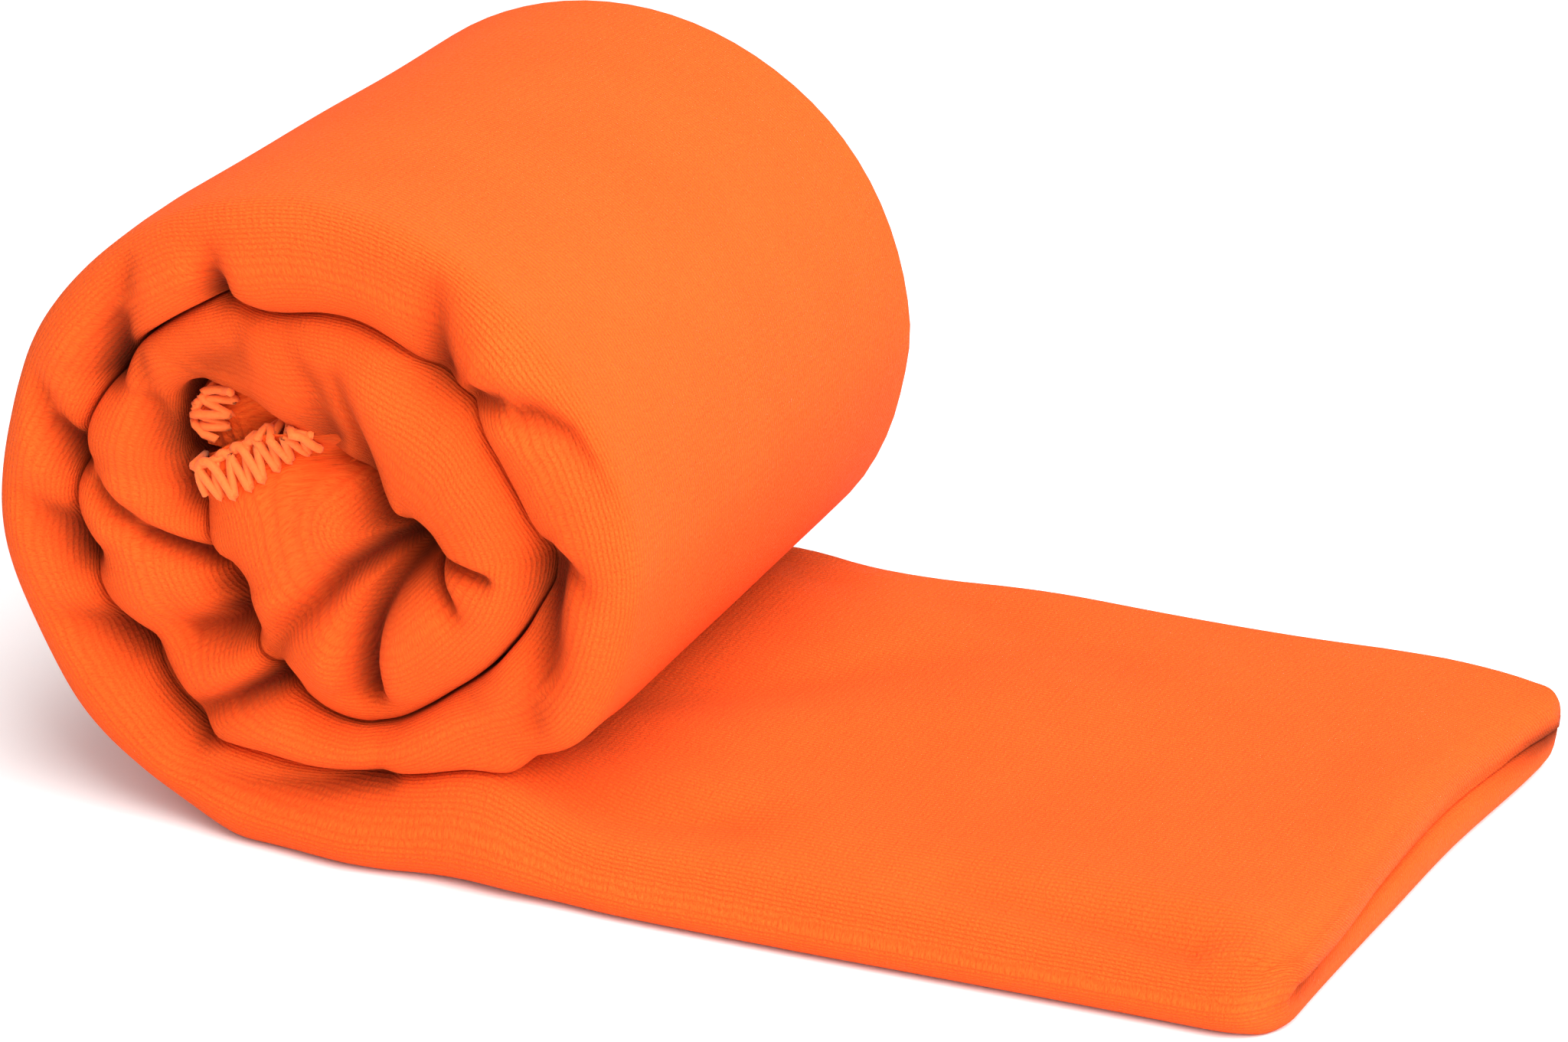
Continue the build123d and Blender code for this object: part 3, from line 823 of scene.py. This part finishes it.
def hem_thread(name, stretches, edge, inwards, shown, node, seed):
    """A hem's threads as one mesh: the stretches hidden in the roll and the band that shows."""
    draw = np.random.default_rng(seed)
    hidden = [hidden_band(*stretch, edge, inwards, draw) for stretch in stretches]
    vertices, faces = joined(hidden + [shown])
    mesh = bpy.data.meshes.new(name)
    mesh.from_pydata(in_frame(vertices).tolist(), [], faces)
    mesh.shade_smooth()
    thread = bpy.data.objects.new(name, mesh)
    bpy.context.scene.collection.objects.link(thread)
    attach(thread, "roll")
    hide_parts(node)
    return thread


cloth_tree = BVHTree.FromPolygons(lying.tolist(), [polygon.vertices[:] for polygon in cloth_mesh.polygons])


def shown_band(cut_edge, inner_edge, seed):
    """The same threads where the hem shows on the roll's near end, laid onto the cloth from in front."""
    draw = np.random.default_rng(seed)
    edges = []
    for line in (cut_edge, inner_edge):
        line = np.array(line, float)
        run = np.concatenate([[0], np.cumsum(np.hypot(*np.diff(line, axis=0).T))])
        place = np.linspace(0, 1, LINE_STEPS)
        curves = [through(list(zip(run / run[-1], line[:, k]))) for k in (0, 1)]
        edges.append(np.stack([curve(place) for curve in curves], -1))
    middle = (edges[0] + edges[1]) / 2
    run = np.concatenate([[0], np.cumsum(np.hypot(*np.diff(middle, axis=0).T))])
    loops = int(round(run[-1] / SHOWN_STITCH))
    t = np.linspace(0, loops, loops * LOOP_STEPS + 1)
    uneven = np.interp(t, np.arange(loops + 1), draw.normal(0, 0.035, loops + 1))
    tubes = []
    for reach, sideways, height in thread_paths(t, uneven, (0.25, 0.55, 0.2), 0.08, -1, 0.85, 0.12, 1):
        column = np.clip((t + sideways) / loops, 0, 1) * (LINE_STEPS - 1)
        steps = np.arange(LINE_STEPS)
        cut, inner = [np.stack([np.interp(column, steps, edge[:, k]) for k in (0, 1)], -1) for edge in edges]
        flat = cut + (inner - cut) * reach[:, None]
        hits = [cloth_tree.ray_cast(Vector((x, IN_FRONT, z)), Vector((0, 1, 0)))[0] for x, z in flat]
        y = np.array([hit[1] if hit else STRIP_WIDTH for hit in hits])
        y = np.minimum(y, np.percentile(y, 90))
        for _ in range(3):
            y[1:-1] = np.minimum(y[1:-1], (y[:-2] + 2 * y[1:-1] + y[2:]) / 4)
        tubes.append(tube(np.stack([flat[:, 0], y - height, flat[:, 1]], -1), THREAD_RADIUS))
    return joined(tubes)


# Where the two hems show: their cut edges and their bands' inner edges, X from the roll's axis and Z.
OUTER_CUT = [(-13.2, 42.5), (-10.6, 43.8), (-8.2, 45.3), (-5.8, 46.9), (-3.6, 48), (-1.6, 48.2), (0.6, 47.8)]
OUTER_INNER = [(-11.4, 39.5), (-9, 39.6), (-6.4, 41), (-4.2, 42.7), (-2.2, 44.1), (-0.6, 45.1), (0.9, 45.9)]
INNER_CUT = [(-14.6, 44.8), (-14.8, 46.6), (-14, 48.6), (-12.4, 50.4)]
INNER_INNER = [(-11.6, 44.6), (-10.4, 46.4), (-9.8, 48.4), (-9.2, 50.6)]
outer_thread = hem_thread(
    "hem_thread_outer", [(PANEL + 1, NEAR_FOLD - HIDDEN_FROM), (NEAR_FOLD + HIDDEN_FROM, 2 * PANEL - 1)],
    0.0, 1, shown_band(OUTER_CUT, OUTER_INNER, 31), "end_hem_outer", 21)
inner_thread = hem_thread(
    "hem_thread_inner", [(2 * PANEL + 2, 2.5 * PANEL - HIDDEN_FROM), (2.5 * PANEL + 20, TOWEL_WIDTH - 1)],
    TOWEL_LENGTH, -1, shown_band(INNER_CUT, INNER_INNER, 32), "end_hem_inner", 22)

# ---------------------------------------------------------------------------
# Materials


def new_material(name):
    material = bpy.data.materials.new(name)
    material.use_nodes = True
    return material, material.node_tree, material.node_tree.nodes["Principled BSDF"]


def put(tree, node, values):
    """Sets some of a node's inputs, each to a number, a colour or another node's output."""
    for name, value in values.items():
        if isinstance(value, bpy.types.NodeSocket):
            tree.links.new(value, node.inputs[name])
        else:
            node.inputs[name].default_value = value


def maths(tree, operation, *values):
    """The output of a Math node."""
    node = tree.nodes.new("ShaderNodeMath")
    node.operation = operation
    put(tree, node, dict(enumerate(values)))
    return node.outputs[0]


def times(tree, first, second):
    return maths(tree, "MULTIPLY", first, second)


def plus(tree, first, second):
    return maths(tree, "ADD", first, second)


def noise(tree, place, scale, detail, roughness=0.5):
    """A Noise node's value, from 0 to 1."""
    node = tree.nodes.new("ShaderNodeTexNoise")
    put(tree, node, {"Scale": scale, "Detail": detail, "Roughness": roughness, "Vector": place})
    return node.outputs["Fac"]


def mixed(tree, amount, first, second):
    """A colour between two."""
    node = tree.nodes.new("ShaderNodeMix")
    node.data_type = "RGBA"
    put(tree, node, {"Factor": amount, "A": first, "B": second})
    return node.outputs["Result"]


def bump(tree, shader, height, depth):
    """Gives the shader a relief, as deep as the depth in metres."""
    node = tree.nodes.new("ShaderNodeBump")
    put(tree, node, {"Distance": depth, "Height": height})
    put(tree, shader, {"Normal": node.outputs["Normal"]})


WALE, COURSE = 0.52, 0.7  # width and height of a knitted stitch, in millimetres
DYE = (0.94, 0.102, 0.009, 1)
DYE_PALE = (0.98, 0.155, 0.020, 1)
# deep dye for the random tone, and also the painted shade between the knit's ribs
DEEP_DYE_AND_RIB_SHADE = (0.82, 0.050, 0.002, 1)
# painted shade: the dark colour given to creases and places little light reaches
PAINTED_CREASE_SHADE = (0.17, 0.009, 0.0003, 1)
THREAD_DYE = (0.86, 0.115, 0.014, 1)
THREAD_PALE = (0.95, 0.185, 0.036, 1)
THREAD_DEEP = (0.72, 0.10, 0.014, 1)

# The knit: ribs of stitches laid out on the flat cloth, under a brushed pile.
knit, tree, shader = new_material("brushed_knit")
uv = tree.nodes.new("ShaderNodeUVMap")
uv.uv_map = "flat_cloth"
in_mm = tree.nodes.new("ShaderNodeVectorMath")
in_mm.operation = "SCALE"
in_mm.inputs["Scale"].default_value = 1 / MM
tree.links.new(uv.outputs["UV"], in_mm.inputs[0])
place = in_mm.outputs["Vector"]
split = tree.nodes.new("ShaderNodeSeparateXYZ")
tree.links.new(place, split.inputs[0])
across_mm, along_mm = split.outputs[0], split.outputs[1]
wander = times(tree, noise(tree, place, 0.35, 2.0), 2.2)
wale_angle = plus(tree, times(tree, across_mm, math.pi / WALE), wander)
wale = maths(tree, "ABSOLUTE", maths(tree, "SINE", wale_angle))
course_angle = times(tree, along_mm, 2 * math.pi / COURSE)
course_angle = plus(tree, course_angle, times(tree, wale, 2.4))
course = times(tree, maths(tree, "SINE", course_angle), 0.22)
stitches = times(tree, wale, plus(tree, course, 0.78))
fuzz = noise(tree, place, 2.6, 4.0, 0.65)
fuzz = plus(tree, times(tree, maths(tree, "SUBTRACT", fuzz, 0.5), 2.6), 0.5)
pile = noise(tree, place, 0.7, 3.0)
patches = noise(tree, place, 0.06, 2.0)
tone = mixed(tree, patches, DEEP_DYE_AND_RIB_SHADE, DYE_PALE)
tone = mixed(tree, 0.62, tone, DYE)
broken = times(tree, plus(tree, fuzz, 0.1), 0.95)
# painted shade: darker between the knit's ribs, where the grooves lie
tone = mixed(tree, times(tree, maths(tree, "SUBTRACT", 1.0, stitches), broken), tone, DEEP_DYE_AND_RIB_SHADE)
tone = mixed(tree, times(tree, fuzz, 0.42), tone, DYE_PALE)
tone = mixed(tree, times(tree, pile, 0.25), tone, DEEP_DYE_AND_RIB_SHADE)
specks = noise(tree, place, 5.0, 2.0, 0.6)
specks = times(tree, maths(tree, "MAXIMUM", maths(tree, "SUBTRACT", specks, 0.5), 0.0), 4.0)
tone = mixed(tree, maths(tree, "MINIMUM", specks, 0.55), tone, DEEP_DYE_AND_RIB_SHADE)
# Painted shade: the colour darkens towards a dark brown by the mesh's attribute of painted shade.
painted_shade = tree.nodes.new("ShaderNodeAttribute")
painted_shade.attribute_name = "painted_shade"
tone = mixed(tree, times(tree, painted_shade.outputs["Fac"], 0.97), tone, PAINTED_CREASE_SHADE)
height = plus(tree, times(tree, stitches, 0.5), times(tree, fuzz, 0.4))
height = plus(tree, height, times(tree, pile, 0.5))
bump(tree, shader, height, 0.3 * MM)
rough = plus(tree, times(tree, fuzz, 0.2), 0.78)
put(tree, shader, {
    "Base Color": tone, "Roughness": rough, "Specular IOR Level": 0.15, "Sheen Weight": 0.12,
    "Sheen Roughness": 0.5, "Sheen Tint": (1.0, 0.36, 0.10, 1)})
cloth.data.materials.append(knit)

thread_material, tree, shader = new_material("overlock_thread")
coordinates = tree.nodes.new("ShaderNodeTexCoord")
strands = noise(tree, coordinates.outputs["Object"], 2600.0, 3.0, 0.6)
clumps = noise(tree, coordinates.outputs["Object"], 700.0, 2.0)
tone = mixed(tree, strands, THREAD_DYE, THREAD_PALE)
tone = mixed(tree, times(tree, clumps, 0.35), tone, THREAD_DEEP)
bump(tree, shader, strands, 0.12 * MM)
rough = plus(tree, times(tree, strands, 0.25), 0.55)
put(tree, shader, {
    "Base Color": tone, "Roughness": rough, "Specular IOR Level": 0.25, "Sheen Weight": 0.2,
    "Sheen Tint": (1.0, 0.6, 0.35, 1)})
for thread in (outer_thread, inner_thread):
    thread.data.materials.append(thread_material)

# ---------------------------------------------------------------------------
# Stage, light and camera
floor_material, tree, shader = new_material("pale_floor")
put(tree, shader, {"Base Color": (0.9, 0.9, 0.9, 1)})
FLOOR = 4.0  # half its side, in metres
floor_corners = [(-FLOOR, -FLOOR, 0), (FLOOR, -FLOOR, 0), (FLOOR, FLOOR, 0), (-FLOOR, FLOOR, 0)]
floor_mesh = bpy.data.meshes.new("floor")
floor_mesh.from_pydata(floor_corners, [], [(0, 1, 2, 3)])
floor = bpy.data.objects.new("floor", floor_mesh)
floor.data.materials.append(floor_material)
bpy.context.scene.collection.objects.link(floor)

world = bpy.data.worlds.new("studio")
world.use_nodes = True
background = world.node_tree.nodes["Background"]
put(world.node_tree, background, {"Color": (1, 1, 1, 1), "Strength": 0.53})
bpy.context.scene.world = world


def softbox(name, place, aim, size, power):
    """A square light of a size in metres and a power in watts."""
    lamp = bpy.data.lights.new(name, "AREA")
    lamp.size = size
    lamp.energy = power
    box = bpy.data.objects.new(name, lamp)
    box.location = place
    box.rotation_mode = "QUATERNION"
    box.rotation_quaternion = (Vector(aim) - Vector(place)).to_track_quat("-Z", "Y")
    bpy.context.scene.collection.objects.link(box)


softbox("key", (0.38, -0.15, 0.69), (0, 0, 0.02), size=1.0, power=14.8)
softbox("fill", (0.48, -0.72, 0.42), (0, 0, 0.03), size=0.9, power=5.0)

AZIMUTH, ELEVATION, TILT = (math.radians(angle) for angle in (21.4, 22.3, 0.98))
DISTANCE = 0.470
AIM = Vector(in_frame(np.array([47.3, 15.6, 40.7])))
aside, away = math.sin(AZIMUTH) * math.cos(ELEVATION), math.cos(AZIMUTH) * math.cos(ELEVATION)
back = Vector((aside, -away, math.sin(ELEVATION)))
camera_data = bpy.data.cameras.new("camera")
camera_data.sensor_width = 36.0
camera_data.lens = 105.3
camera = bpy.data.objects.new("camera", camera_data)
camera.rotation_mode = "QUATERNION"
camera.location = AIM + back * DISTANCE
upright = (-back).to_track_quat("-Z", "Y")
camera.rotation_quaternion = upright @ Matrix.Rotation(TILT, 4, "Z").to_quaternion()
camera_data.clip_start, camera_data.clip_end = 0.01, 20.0
bpy.context.scene.collection.objects.link(camera)
bpy.context.scene.camera = camera
bpy.context.scene.view_settings.view_transform = "Standard"
